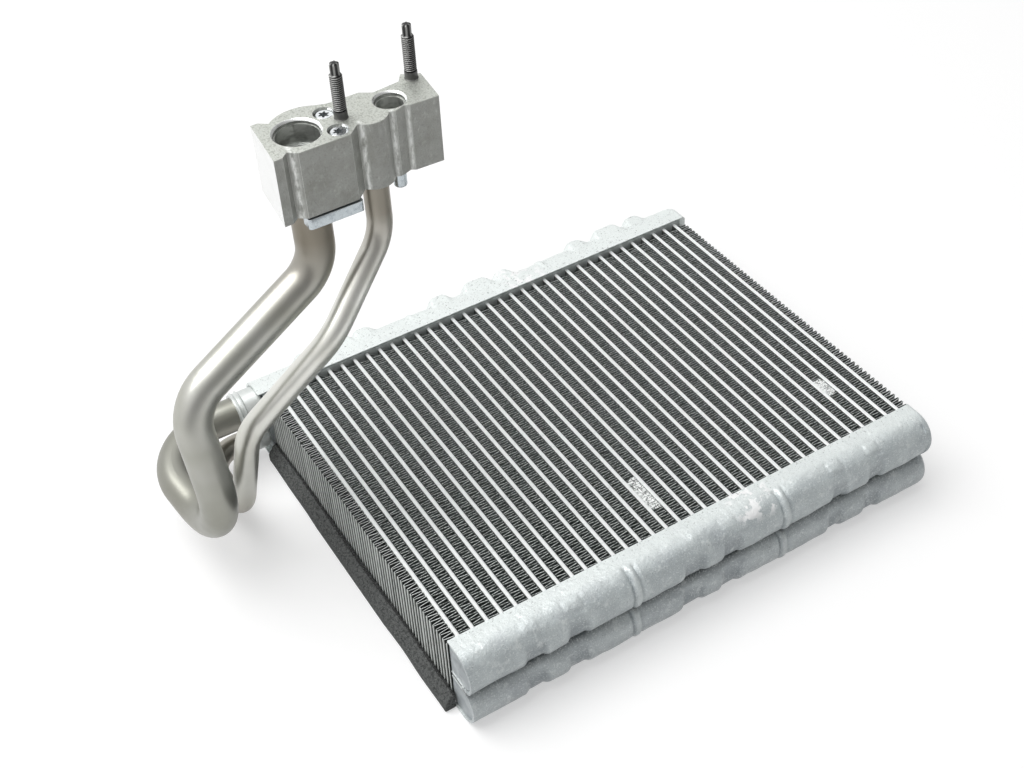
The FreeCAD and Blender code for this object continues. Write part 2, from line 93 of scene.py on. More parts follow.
class Finish:
    """One material, built up in layers of colour over its first one."""

    def __init__(self, name, colour, metallic, roughness):
        self.material = bpy.data.materials.new(name)
        self.material.use_nodes = True
        self.tree = self.material.node_tree
        self.surface = self.tree.nodes["Principled BSDF"]
        self.surface.inputs["Base Color"].default_value = colour
        self.surface.inputs["Metallic"].default_value = metallic
        self.surface.inputs["Roughness"].default_value = roughness
        self.colour = None
        self.height = None

    def mottle(self, scale, low, high, detail=4.0, stretch=(1, 1, 1)):
        """A mask of cloudy patches, from 0 where the cloud is below low to 1 where it is above high."""
        cloud = self.tree.nodes.new("ShaderNodeGroup")
        cloud.node_tree = mottle_group
        for label, value in (("Scale", scale), ("Low", low), ("High", high), ("Detail", detail),
                             ("Stretch", stretch)):
            cloud.inputs[label].default_value = value
        return cloud.outputs["Mask"]

    def layer(self, mask, colour, strength=1.0):
        """Lays a colour over what is there, where the mask is 1."""
        if strength < 1.0:
            mask = self.combine("MULTIPLY", mask, strength)
        mix = self.tree.nodes.new("ShaderNodeMix")
        mix.data_type = "RGBA"
        if self.colour is None:
            mix.inputs["A"].default_value = self.surface.inputs["Base Color"].default_value
        else:
            self.tree.links.new(self.colour, mix.inputs["A"])
        mix.inputs["B"].default_value = colour
        self.tree.links.new(mask, mix.inputs["Factor"])
        self.colour = mix.outputs["Result"]
        self.tree.links.new(self.colour, self.surface.inputs["Base Color"])
        return self

    def combine(self, operation, first, second):
        """A Math node on two masks or numbers."""
        node = self.tree.nodes.new("ShaderNodeMath")
        node.operation = operation
        for value, socket in ((first, node.inputs[0]), (second, node.inputs[1])):
            if isinstance(value, (int, float)):
                socket.default_value = value
            else:
                self.tree.links.new(value, socket)
        return node.outputs[0]

    def rough(self, mask, low, high):
        """Roughness that runs from low to high with the mask."""
        limits = self.tree.nodes.new("ShaderNodeMapRange")
        limits.inputs["To Min"].default_value = low
        limits.inputs["To Max"].default_value = high
        self.tree.links.new(mask, limits.inputs["Value"])
        self.tree.links.new(limits.outputs["Result"], self.surface.inputs["Roughness"])
        return self

    def relief(self, mask, depth):
        """Adds a bump of that depth, in metres, where the mask is 1."""
        bump = self.tree.nodes.new("ShaderNodeBump")
        bump.inputs["Strength"].default_value = 1.0
        bump.inputs["Distance"].default_value = depth
        self.tree.links.new(mask, bump.inputs["Height"])
        if self.height is not None:
            self.tree.links.new(self.height, bump.inputs["Normal"])
        self.height = bump.outputs["Normal"]
        self.tree.links.new(self.height, self.surface.inputs["Normal"])
        return self

    def along(self, axis, low, high):
        """A mask that runs from 0 at low to 1 at high along one of the object's axes."""
        place = self.tree.nodes.new("ShaderNodeTexCoord")
        parts = self.tree.nodes.new("ShaderNodeSeparateXYZ")
        self.tree.links.new(place.outputs["Object"], parts.inputs["Vector"])
        limits = self.tree.nodes.new("ShaderNodeMapRange")
        limits.inputs["From Min"].default_value = low
        limits.inputs["From Max"].default_value = high
        self.tree.links.new(parts.outputs[axis], limits.inputs["Value"])
        return limits.outputs["Result"]

    def attribute(self, name):
        """A mask that the mesh itself carries."""
        node = self.tree.nodes.new("ShaderNodeAttribute")
        node.attribute_name = name
        return node.outputs["Fac"]


def dress(finish, *names):
    """Gives CAD nodes that material."""
    for name in names:
        nodes[name].data.materials.clear()
        nodes[name].data.materials.append(finish.material)


tube_finish = Finish("brazed_tube", shade(247, 250, 249), 0.10, 0.38)
tube_finish.layer(tube_finish.mottle(900, 0.50, 0.62), shade(253, 254, 254))
tube_finish.layer(tube_finish.mottle(420, 0.58, 0.72), shade(216, 221, 220), 0.6)
tube_finish.relief(tube_finish.mottle(1500, 0.3, 0.7), 0.00006)
tube_low, tube_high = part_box("tube_01")
# The flanks between the top and bottom edges are painted darker: painted shade of the narrow gaps
# between the fins.
bright_edge = 0.6 * mm
shaded_flank = 1.0 * mm
below_top = tube_finish.along("Z", tube_high.z - bright_edge, tube_high.z - shaded_flank)
above_bottom = tube_finish.along("Z", tube_low.z + bright_edge, tube_low.z + shaded_flank)
tube_finish.layer(tube_finish.combine("MULTIPLY", below_top, above_bottom), shade(104, 108, 106))
tube_count = 35
dress(tube_finish, *["tube_%02d" % k for k in range(1, tube_count + 1)])


# Corrugated fins: thin aluminium strip rolled into fine waves, one strip in each gap
# between two tubes and one outside each end tube, brazed to the tubes at its crests.

tube_pitch = 8 * mm
wave_count = 63
fin_sheet = 0.30 * mm
fin_length = 200.7 * mm
fin_crest = 2.85 * mm
fin_round = 0.4 * mm
crest_share, round_share, leg_share = 0.24, 0.06, 0.14
curled_end = 2.6 * mm
curl_depth = 3.2 * mm
damage_depth = 4 * mm
lid_sheet = 0.2 * mm
lid_drop = 0.42 * mm
lid_cell = 0.4 * mm
# X and Y of the middle of each crushed place, and half its length
crushed_places = [(24.1 * mm, -73.0 * mm, 13.0 * mm), (152.1 * mm, -63.0 * mm, 7.0 * mm)]
# without a seed, noise_vector takes its offset from the clock and each run differs
noise.seed_set(5)


def select_only(piece):
    """Selects one object and makes it the active one."""
    bpy.ops.object.select_all(action="DESELECT")
    piece.select_set(True)
    bpy.context.view_layer.objects.active = piece


def apply_modifiers(piece):
    """Applies all of a piece's modifiers, in their order."""
    select_only(piece)
    for name in [m.name for m in piece.modifiers]:
        bpy.ops.object.modifier_apply(modifier=name)


def strip_from_edge(name, start, end, steps):
    """A straight edge, extruded step by step into a strip."""
    bpy.ops.object.select_all(action="DESELECT")
    bpy.ops.mesh.primitive_plane_add(size=1)
    piece = bpy.context.active_object
    piece.name = name
    bpy.ops.object.mode_set(mode="EDIT")
    mesh = bmesh.from_edit_mesh(piece.data)
    bmesh.ops.delete(mesh, geom=list(mesh.verts)[2:], context="VERTS")
    mesh.verts.ensure_lookup_table()
    mesh.verts[0].co, mesh.verts[1].co = start, end
    if not mesh.edges:
        mesh.edges.new(mesh.verts)
    for vert in mesh.verts:
        vert.select = True
    mesh.select_flush(True)
    bmesh.update_edit_mesh(piece.data)
    for step in steps:
        bpy.ops.mesh.extrude_region_move(TRANSFORM_OT_translate={"value": step})
    bpy.ops.object.mode_set(mode="OBJECT")
    return piece


def finned_strip(name):
    """One strip at X = 0, its ends and its upper and lower edges where the CAD strip has them."""
    low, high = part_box("left_outer_fin")
    wave = fin_length / wave_count
    start = -fin_length / 2
    across = 2 * (fin_crest - fin_round)
    turn = (fin_round, round_share * wave, 0)
    right = [(0, crest_share * wave, 0), turn, (across, leg_share * wave, 0), turn]
    left = [(-x, y, z) for x, y, z in right]
    strip = strip_from_edge(name, (-fin_crest, start, low.z), (-fin_crest, start, high.z), right + left)
    waves = strip.modifiers.new("waves", "ARRAY")
    waves.count = wave_count
    waves.use_relative_offset = False
    waves.use_constant_offset = True
    waves.constant_offset_displace = (0, wave, 0)
    waves.use_merge_vertices = True
    waves.merge_threshold = 0.01 * mm
    sheet = strip.modifiers.new("sheet", "SOLIDIFY")
    sheet.thickness = fin_sheet
    sheet.offset = 0
    apply_modifiers(strip)
    # crest marks the outermost faces and the near end, which the outer strips paint light as lit
    crest = strip.data.attributes.new("crest", "FLOAT", "POINT")
    for vert in strip.data.vertices:
        outermost = abs(vert.co.x) > fin_crest - 0.2 * mm or vert.co.y < start + 0.8 * mm
        crest.data[vert.index].value = float(outermost)
    strip.data.materials.append(shaded_fin_finish.material)
    strip.data.materials.append(lit_fin_edge.material)
    # leg faces turned up or down take the edges' painted light, the rest the sides' painted shade
    for face in strip.data.polygons:
        on_leg = abs(face.center.x) < fin_crest - 0.5 * mm
        face.material_index = int(on_leg and abs(face.normal.z) > 0.7)
    return strip


def placed_copy(piece, name, x):
    """A copy with its own mesh, moved along X."""
    copy = bpy.data.objects.new(name, piece.data.copy())
    bpy.context.scene.collection.objects.link(copy)
    for vert in copy.data.vertices:
        vert.co.x += x
    return copy


def crushed_lid(x, y, reach):
    """Fin edges that a blow has folded flat and torn: one thin skin, full of holes."""
    bpy.ops.object.select_all(action="DESELECT")
    bpy.ops.mesh.primitive_grid_add(x_subdivisions=16, y_subdivisions=int(2 * reach / lid_cell), size=1)
    lid = bpy.context.active_object
    mesh = bmesh.new()
    mesh.from_mesh(lid.data)
    for vert in mesh.verts:
        across, along = vert.co.x, vert.co.y
        place = Vector((x + across * 2 * fin_crest, y + along * 2 * reach, fin_top - lid_drop))
        torn = noise.noise_vector(place * 900)
        vert.co = place + Vector((torn.x * 0.25, torn.y * 0.5, torn.z * 0.45)) * mm
    gone = []
    for face in mesh.faces:
        place = face.calc_center_median()
        ragged = noise.noise(place * 260) * 0.35
        end = abs(place.y - y) / reach + ragged
        if noise.noise(place * 1500) > 0.27 or end > 0.92:
            gone.append(face)
    bmesh.ops.delete(mesh, geom=gone, context="FACES")
    mesh.to_mesh(lid.data)
    mesh.free()
    skin = lid.modifiers.new("skin", "SOLIDIFY")
    skin.thickness = lid_sheet
    apply_modifiers(lid)
    lid.data.materials.append(torn_finish.material)
    return lid


def disturb(piece, lean, lift, seed):
    """Bends the waves and their edges a little, as handling does, and crushes the damaged places."""
    bare = piece.data.attributes.new("bare", "FLOAT", "POINT")
    far_end = max(v.co.y for v in piece.data.vertices)
    top = max(v.co.z for v in piece.data.vertices)
    bottom = min(v.co.z for v in piece.data.vertices)
    for vert in piece.data.vertices:
        place = vert.co
        strip = round(place.x / tube_pitch)
        edge = max(0.0, abs(place.z - (top + bottom) / 2) / ((top - bottom) / 2) - 0.55) / 0.45
        way = noise.noise_vector(Vector((strip * 3.7 + seed, place.y * 160, place.z * 30)))
        fine = noise.noise(Vector((strip * 9.1 + seed, place.y * 700, 4.0)))
        vert.co.y += (way.y * lean + fine * lean) * edge
        vert.co.z += (way.z * lift - abs(fine) * lift) * edge
        beside = (place.x - left_gap + tube_pitch / 2) % tube_pitch - tube_pitch / 2
        reach = curled_end * (0.8 + 0.6 * abs(way.x)) * beside / fin_crest
        if far_end - place.y < reach and place.z > top - damage_depth:
            vert.co.z -= curl_depth * min(1.0, 0.3 + beside / fin_crest)
        for x, y, reach in crushed_places:
            if abs(place.x - x) < 3 * mm and abs(place.y - y) < reach and place.z > top - damage_depth:
                near = min(1.0, 2.5 - 2.5 * abs(place.y - y) / reach)
                jolt = noise.noise_vector(place * 1900)
                vert.co.y += jolt.x * 1.2 * mm * near
                vert.co.x += jolt.y * 0.5 * mm * near
                vert.co.z += (jolt.z - 0.35) * 0.9 * mm * near
                bare.data[vert.index].value = near


fin_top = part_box("left_outer_fin")[1].z
# One aluminium in two tones: the sides painted dark as the shade between the waves, the top and bottom
# edges painted light as lit.
shaded_fin_finish = Finish("fin_sheet", shade(94, 100, 97), 0.30, 0.50)
shaded_fin_finish.layer(shaded_fin_finish.mottle(260, 0.45, 0.62), shade(76, 82, 79))
bare_metal = shaded_fin_finish.mottle(1500, 0.48, 0.54)
bare_metal = shaded_fin_finish.combine("MULTIPLY", shaded_fin_finish.attribute("bare"), bare_metal)
shaded_fin_finish.layer(bare_metal, shade(240, 242, 242))
lit_fin_edge = Finish("lit_fin_edge", shade(216, 221, 219), 0.30, 0.44)
lit_fin_edge.layer(lit_fin_edge.mottle(1100, 0.48, 0.58, 3.0), shade(112, 118, 115), 0.9)
torn_finish = Finish("torn_fin", shade(250, 252, 251), 0.10, 0.40)
# dark specks stand for holes in the torn skin: painted shade of the gaps below
torn_finish.layer(torn_finish.mottle(1000, 0.58, 0.63, 2.0), shade(70, 74, 72), 0.85)
# Outer strips: painted dark as shade, with their outermost crests and near ends painted light as lit.
outer_fin_shade_and_highlight = Finish("outer_fin_sheet", shade(60, 64, 62), 0.30, 0.50)
outer_fin_shade_and_highlight.layer(outer_fin_shade_and_highlight.attribute("crest"), shade(215, 219, 216))
outer_fin_shade_and_highlight.layer(outer_fin_shade_and_highlight.mottle(240, 0.52, 0.70), shade(120, 124, 121), 0.45)
lit_outer_edge = Finish("outer_fin_edge", shade(220, 224, 222), 0.30, 0.42)

first_strip = finned_strip("left_fin_strip")
left_gap = (tube_low.x + tube_high.x) / 2 - tube_pitch / 2
inner_strips = []
for k in range(1, tube_count):
    inner_strips.append(placed_copy(first_strip, "fin_strips", left_gap + k * tube_pitch))
right_strip = placed_copy(first_strip, "right_fin_strip", left_gap + tube_count * tube_pitch)
for vert in first_strip.data.vertices:
    vert.co.x += left_gap
select_only(inner_strips[0])
for strip in inner_strips:
    strip.select_set(True)
bpy.ops.object.join()
fin_strips = bpy.context.active_object
for piece, node, sheet, edge, lean, lift, seed in (
        (fin_strips, "inner_fins", shaded_fin_finish, lit_fin_edge, 0.30 * mm, 0.05 * mm, 0),
        (first_strip, "left_outer_fin", outer_fin_shade_and_highlight, lit_outer_edge, 0.35 * mm, 0.2 * mm, 7),
        (right_strip, "right_outer_fin", outer_fin_shade_and_highlight, lit_outer_edge, 0.35 * mm, 0.2 * mm, 13)):
    disturb(piece, lean, lift, seed)
    piece.data.materials[0] = sheet.material
    piece.data.materials[1] = edge.material
    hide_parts(node)
    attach(piece, "root")
lids = [crushed_lid(x, y, reach) for x, y, reach in crushed_places]
select_only(fin_strips)
for lid in lids:
    lid.select_set(True)
bpy.ops.object.join()


# Header plates and baffles: punched aluminium sheet set into the tank covers.
# The tubes pass through the plates, and the baffles part the barrels inside.

plate_finish = Finish("brazed_plate", shade(214, 220, 219), 0.20, 0.48)
plate_finish.layer(plate_finish.mottle(180, 0.46, 0.66), shade(190, 197, 195))
plate_finish.relief(plate_finish.mottle(700, 0.3, 0.7), 0.0001)
dress(plate_finish, "near_header_plate", "far_header_plate", "near_baffles", "far_baffles")


# Tank covers: one aluminium sheet each, pressed into two barrels that meet in a crease,
# then stamped with flats, raised pads, slits and ring grooves. Flux has dried on them in
# pale clouds, and thicker where it ran together on the near one, where its glints are
# painted white. Painted shade darkens the crease, the flats and the lower barrels, and
# painted light brightens the pads, the near lip and the whole far cover.

header_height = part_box("near_tank_cover")[1].z
barrel_radius = 13.2 * mm
barrel_setback = 7.5 * mm
cover_sheet = 1.5 * mm
crease_half = 0.42 * mm
crease_shade = 3.2 * mm
upper_axis = header_height - barrel_radius
lower_axis = barrel_radius
core_middle = 36.106 * mm
cover_lip = 101.15 * mm
crease_depth = 4.0 * mm
cover_column = 0.85 * mm
# place, width and height of each pad or bulge, in millimetres along X from the core's middle
near_flats = [(-106.5, 11, 0.4), (-82.5, 11, 0.5), (-14.0, 13, 0.25), (9.5, 11, 0.3), (78.5, 10, 0.6),
              (103, 10, 0.7)]
far_bulges = [(-112, 14, 3.8), (-90, 18, 4.0), (-74, 14, 3.8), (-23.5, 15, 4.4), (2.5, 20, 4.8),
              (20.5, 13, 4.4), (72.5, 14, 4.0), (95.5, 20, 4.4), (115.5, 14, 4.2)]
far_flats = [-12, 12, -80.5, 80.5, -105, 105]
near_rings = [-48.2, 43.6]
far_rings = [-45.0, 45.0]
# place, degrees round the barrel, and whether it is the upper one
near_slits = [(137.0, 42, True), (136.2, 139, False)]
flat_depth = 1.5
lip_taper = 3.0 * mm
lip_thinning = 0.9 * mm


def cover_section(inset=0.0):
    """Setback and height of the section's points, from the upper lip round both barrels."""
    radius = barrel_radius - inset
    crease = math.acos((header_height / 2 - lower_axis - crease_half - inset) / radius)
    sweep = math.pi - crease
    floor_of_crease = barrel_setback + crease_depth - inset
    points = [(0.0, header_height - inset), (0.5 * barrel_setback, header_height - inset)]
    rounds = 40
    for axis, side in ((upper_axis, 1), (lower_axis, -1)):
        arc = []
        for i in range(rounds + 1):
            turn = sweep * i / rounds
            arc.append((barrel_setback + radius * math.sin(turn),
                        axis + side * radius * math.cos(turn)))
        points += arc if side > 0 else arc[::-1]
        if side > 0:
            points += [(floor_of_crease, arc[-1][1]), (floor_of_crease, header_height - arc[-1][1])]
    return points + [(0.5 * barrel_setback, inset), (0.0, inset)]


def smooth_window(distance, half_width, soft):
    """1 inside half_width, 0 outside it, with a soft edge."""
    t = min(1.0, max(0.0, (half_width + soft / 2 - abs(distance)) / soft))
    return t * t * (3 - 2 * t)


def ring_height(x, places):
    """A ridge between two grooves, pressed round the barrels at each place."""
    out = 0.0
    for place in places:
        out += 0.7 * smooth_window(x - place, 1.3, 1.5)
        out -= 1.0 * smooth_window(x - place + 2.6, 0.7, 1.3)
        out -= 0.6 * smooth_window(x - place - 2.6, 0.7, 1.3)
    return out


def stamp_near(x, turn, upper):
    """How far the near cover stands out at that place, in millimetres."""
    out = ring_height(x, near_rings) * smooth_window(turn - 95, 86, 14)
    middle, reach = (114, 46) if upper else (56, 62)
    for place, width, height in near_flats:
        flat = smooth_window(x - place, width / 2, 3.4)
        out -= flat_depth * flat * smooth_window(turn - middle, reach, 40)
        if upper:
            pad = smooth_window(x - place, width / 2 - 1.2, 2.4) * smooth_window(turn - 25, 14, 12)
            out += height * pad - 0.4 * height * flat * smooth_window(turn - 25, 22, 14)
    for place, at, on_upper in near_slits:
        if upper == on_upper:
            out -= 1.1 * smooth_window(x - place, 0.5, 0.6) * smooth_window(turn - at, 9, 4)
    return out


def stamp_far(x, turn, upper):
    """The same for the far cover, with its bulges."""
    out = 0.0
    for place in far_flats:
        out -= 0.9 * smooth_window(x - place, 4.2, 3.0) * smooth_window(turn - 110, 50, 30)
    out += ring_height(x, far_rings)
    if upper:
        for place, width, height in far_bulges:
            rise = height * smooth_window(x - place, width / 2 - 1.5, 7.0)
            out = max(out, rise * smooth_window(turn - 47, 22, 34))
    return out


def section_steps(section, side):
    """The steps from point to point of a section, on the near or the far side."""
    return [(0, side * (b[0] - a[0]), b[1] - a[1]) for a, b in zip(section, section[1:])]


def tank_cover(name, node, side, stamp, seed):
    """A cover on that side: the section's strip, cut finely along X, stamped, and given its sheet."""
    low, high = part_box(node)
    lip = side * cover_lip
    section = cover_section()
    start = (low.x, lip + side * section[0][0], section[0][1])
    cover = strip_from_edge(name, start, (high.x, *start[1:]), section_steps(section, side))
    cuts = int(math.sqrt((high.x - low.x) / cover_column))
    bpy.ops.object.mode_set(mode="EDIT")
    for cutting in range(2):
        mesh = bmesh.from_edit_mesh(cover.data)
        for part in list(mesh.verts) + list(mesh.edges) + list(mesh.faces):
            part.select = False
        for edge in mesh.edges:
            edge.select = abs(edge.verts[0].co.x - edge.verts[1].co.x) > 1 * mm
        bmesh.update_edit_mesh(cover.data)
        bpy.ops.mesh.subdivide(number_cuts=cuts)
    bpy.ops.object.mode_set(mode="OBJECT")
    # pressed and proud carry the painted shade of the flats and the painted light of the pads
    pressed = cover.data.attributes.new("pressed", "FLOAT", "POINT")
    proud = cover.data.attributes.new("proud", "FLOAT", "POINT")
    for vert in cover.data.vertices:
        setback = side * (vert.co.y - lip)
        upper = vert.co.z > header_height / 2
        axis = upper_axis if upper else lower_axis
        across = Vector((0, side * max(0.0, setback - barrel_setback), vert.co.z - axis))
        turn = math.degrees(math.atan2(abs(across.y), across.z if upper else -across.z))
        outward = across.normalized()
        x = (vert.co.x - core_middle) / mm
        on_barrel = min(1.0, max(0.0, setback / barrel_setback - 0.35))
        out = stamp(x, turn, upper) * on_barrel
        pressed.data[vert.index].value = min(1.0, max(0.0, -out / flat_depth))
        proud.data[vert.index].value = min(1.0, max(0.0, out / 0.6))
        out += 0.45 * noise.noise(vert.co * 60 + Vector((seed, 0, 0))) * on_barrel
        out += 0.24 * noise.noise(vert.co * 125 + Vector((0, seed, 0))) * on_barrel
        out += 0.13 * noise.noise(vert.co * 230 + Vector((seed, 0, 0)))
        vert.co += outward * out * mm
        vert.co.y = side * min(abs(vert.co.y), high.y if side > 0 else -low.y)
        vert.co.z = min(max(vert.co.z, 0.0), header_height)
    sheet = cover.modifiers.new("sheet", "SOLIDIFY")
    sheet.thickness = cover_sheet
    sheet.offset = -side
    apply_modifiers(cover)
    # crease carries the painted shade along the crease
    crease = cover.data.attributes.new("crease", "FLOAT", "POINT")
    for vert in cover.data.vertices:
        crease.data[vert.index].value = max(0.0, 1 - abs(vert.co.z - header_height / 2) / crease_shade)
        setback = side * (vert.co.y - lip)
        under = min(vert.co.z, header_height - vert.co.z) > 0.6 * cover_sheet
        if setback < lip_taper and under:
            thinned = lip_thinning * (1 - setback / lip_taper)
            vert.co.z += thinned if vert.co.z > header_height / 2 else -thinned
    bpy.ops.object.mode_set(mode="EDIT")
    bpy.ops.mesh.select_all(action="SELECT")
    bpy.ops.mesh.normals_make_consistent(inside=False)
    bpy.ops.object.mode_set(mode="OBJECT")
    bpy.ops.object.shade_smooth_by_angle(angle=math.radians(42))
    cover.data.materials.clear()
    cover.data.materials.append(header_finish.material)
    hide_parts(node)
    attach(cover, "root")
    return cover


header_finish = Finish("brazed_header", shade(189, 197, 199), 0.22, 0.44)
header_finish.layer(header_finish.mottle(70, 0.42, 0.64), shade(204, 212, 213))
header_finish.layer(header_finish.mottle(42, 0.54, 0.74, 3.0), shade(168, 174, 180), 0.7)
# darker towards the bottom: painted shade of the lower barrels
header_finish.layer(header_finish.along("Z", 0.034, 0.012), shade(168, 171, 176), 0.25)
# flats painted darker as shade, pads and ridges painted lighter as lit
header_finish.layer(header_finish.attribute("pressed"), shade(132, 140, 146), 0.6)
header_finish.layer(header_finish.attribute("proud"), shade(228, 234, 233), 0.3)
# painted shade along the crease
in_crease = header_finish.combine("POWER", header_finish.attribute("crease"), 1.5)
header_finish.layer(in_crease, shade(70, 73, 76), 0.95)
# paler over the near lip's flat and over the whole far cover: painted light on their lit tops
header_finish.layer(header_finish.along("Y", -0.1165, -0.1075), shade(240, 246, 244), 0.75)
header_finish.layer(header_finish.along("Y", 0.090, 0.100), shade(240, 246, 244), 0.85)
header_finish.layer(header_finish.mottle(210, 0.56, 0.74, 8.0), shade(243, 248, 247), 0.7)
header_finish.layer(header_finish.mottle(1300, 0.54, 0.64, 3.0), shade(238, 243, 242), 0.6)
header_finish.layer(header_finish.mottle(1700, 0.64, 0.70, 2.0), shade(132, 138, 138), 0.65)
# flux glaze on the near cover, its glints painted white
flux_glaze_glints = header_finish.along("X", 0.050, 0.056)
for limit in (header_finish.along("X", 0.079, 0.073), header_finish.along("Y", -0.1200, -0.1165),
              header_finish.along("Z", 0.040, 0.044), header_finish.mottle(170, 0.50, 0.56, 3.0)):
    flux_glaze_glints = header_finish.combine("MULTIPLY", flux_glaze_glints, limit)
header_finish.layer(flux_glaze_glints, shade(254, 255, 255))
near_lip = header_finish.along("Y", -0.1085, -0.1030)
specks = header_finish.combine("MULTIPLY", near_lip, header_finish.mottle(900, 0.60, 0.66, 4.0))
header_finish.layer(specks, shade(134, 138, 136), 0.7)
header_finish.relief(header_finish.mottle(420, 0.25, 0.75, 5.0), 0.00022)
header_finish.rough(header_finish.mottle(130, 0.4, 0.7), 0.30, 0.56)
tank_cover("near_cover_shell", "near_tank_cover", -1, stamp_near, 3)
tank_cover("far_cover_shell", "far_tank_cover", 1, stamp_far, 11)
dress(header_finish, "near_right_cap", "far_right_cap")


# Left caps: pressed aluminium plates that close the barrels' left ends almost flush.
# Each has two thin ribs across its middle, from the core to the crease, painted light as
# lit, with a strip between them painted dark as the groove's shade.

cap_sheet = 2.0 * mm
cap_gap = 0.4 * mm
rib_height = 0.6 * mm
rib_width = 0.55 * mm
rib_apart = 3.4 * mm


def drawn_chain(name, start, steps):
    """One point, extruded step by step into a chain of edges."""
    chain = strip_from_edge(name, start, start, [])
    bpy.ops.object.mode_set(mode="EDIT")
    bpy.ops.mesh.select_all(action="SELECT")
    bpy.ops.mesh.merge(type="CENTER")
    for step in steps:
        bpy.ops.mesh.extrude_region_move(TRANSFORM_OT_translate={"value": step})
    bpy.ops.object.mode_set(mode="OBJECT")
    return chain


def left_cap(name, node, cover_node, side, recess):
    """A plate of the cover's inner outline, sunk by recess, with its ribs and groove."""
    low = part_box(cover_node)[0]
    section = cover_section(cover_sheet + cap_gap)
    lip = side * cover_lip
    start = (low.x + recess, lip + side * section[0][0], section[0][1])
    cap = drawn_chain(name, start, section_steps(section, side))
    bpy.ops.object.mode_set(mode="EDIT")
    bpy.ops.mesh.select_all(action="SELECT")
    bpy.ops.mesh.edge_face_add()
    bpy.ops.mesh.extrude_region_move(TRANSFORM_OT_translate={"value": (cap_sheet, 0, 0)})
    bpy.ops.mesh.select_all(action="SELECT")
    bpy.ops.mesh.normals_make_consistent(inside=False)
    bpy.ops.object.mode_set(mode="OBJECT")
    parts = [cap]
    reach = barrel_setback + crease_depth
    # the ribs painted light as lit, the strip between them dark as the groove's shade
    for way, height, width, finish in (
            (-1, rib_height, rib_width, lit_rib_finish),
            (1, rib_height, rib_width, lit_rib_finish),
            (0, 0.2 * rib_height, rib_apart - rib_width, groove_finish)):
        bpy.ops.mesh.primitive_cube_add(size=1)
        rib = bpy.context.active_object
        for vert in rib.data.vertices:
            vert.co = Vector((low.x + recess + vert.co.x * 2 * height,
                              lip + side * (0.5 * mm + reach * (vert.co.y + 0.5)),
                              header_height / 2 + way * rib_apart / 2 + vert.co.z * width))
        parts.append(rib)
        rib.data.materials.append(finish.material)
    cap.data.materials.append(cap_finish.material)
    for part in parts:
        part.select_set(True)
    bpy.context.view_layer.objects.active = cap
    bpy.ops.object.join()
    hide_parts(node)
    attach(cap, "root")


cap_finish = Finish("pressed_cap", shade(170, 177, 180), 0.20, 0.48)
cap_finish.layer(cap_finish.mottle(110, 0.44, 0.62), shade(192, 198, 200))
cap_finish.layer(cap_finish.mottle(160, 0.56, 0.70), shade(140, 146, 149), 0.7)
cap_finish.relief(cap_finish.mottle(300, 0.3, 0.7), 0.0002)
lit_rib_finish = Finish("lit_cap_rib", shade(222, 227, 226), 0.20, 0.44)
lit_rib_finish.layer(lit_rib_finish.mottle(500, 0.5, 0.64), shade(196, 201, 201))
groove_finish = Finish("shaded_cap_groove", shade(112, 116, 118), 0.20, 0.55)
groove_finish.layer(groove_finish.mottle(400, 0.5, 0.64), shade(134, 138, 139))
left_cap("near_end_cap", "near_left_cap", "near_tank_cover", -1, 0.9 * mm)
left_cap("far_end_cap", "far_left_cap", "far_tank_cover", 1, 3.0 * mm)


# Sleeves and pipes: drawn aluminium tube, bent to its route and brazed into turned sleeves.
# The heat has left a warm tint by the joints, darkened under the block as painted shade, and
# handling a few dull patches. Their lower bends are painted darker as shade, and the liquid
# pipe is painted lighter than the suction pipe, as painted highlight.

def drawn_finish(name, tone, patch, bend_shade):
    """Drawn tube with a warm heat tint under the block, darkened there as painted shade, and its lower
    bend painted darker in the given tone, as painted shade.
    """
    finish = Finish(name, tone, 0.92, 0.34)
    finish.layer(finish.mottle(30, 0.42, 0.66, 2.0), patch)
    finish.layer(finish.mottle(90, 0.55, 0.75, 3.0), tone, 0.5)
    # warm heat tint under the block, darkened there as painted shade
    finish.layer(finish.along("Z", 0.150, 0.185), shade(120, 111, 97), 0.8)
    # lower bend painted darker: painted shade
    finish.layer(finish.along("Z", 0.125, 0.055), bend_shade, 0.7)
    # warmer and darker towards the very bottom
    finish.layer(finish.along("Z", 0.045, 0.012), shade(132, 122, 110), 0.6)
    return finish.rough(finish.mottle(60, 0.3, 0.7), 0.31, 0.40)


suction_finish = drawn_finish("drawn_suction_pipe", shade(194, 194, 188), shade(178, 178, 169),
                              shade(130, 130, 121))
# the liquid pipe: the same tube painted lighter, as painted highlight
lit_liquid_finish = drawn_finish("lit_drawn_liquid_pipe", shade(240, 240, 234), shade(228, 228, 220),
                             shade(176, 176, 168))
dress(suction_finish, "suction_pipe")
dress(lit_liquid_finish, "liquid_pipe")
sleeve_finish = Finish("turned_sleeve", shade(214, 218, 216), 0.55, 0.38)
sleeve_finish.layer(sleeve_finish.mottle(120, 0.5, 0.7), shade(240, 243, 241))
dress(sleeve_finish, "suction_sleeve", "liquid_sleeve")


# Connector block: a length sawn from an extruded aluminium profile, with its ports machined in.
# Its sides keep the lines of the die, its edges are broken, and the ports' chamfers and
# shelves are freshly cut. Painted highlights run down its front where faces turn to the light,
# and its left faces are painted near white as lit.

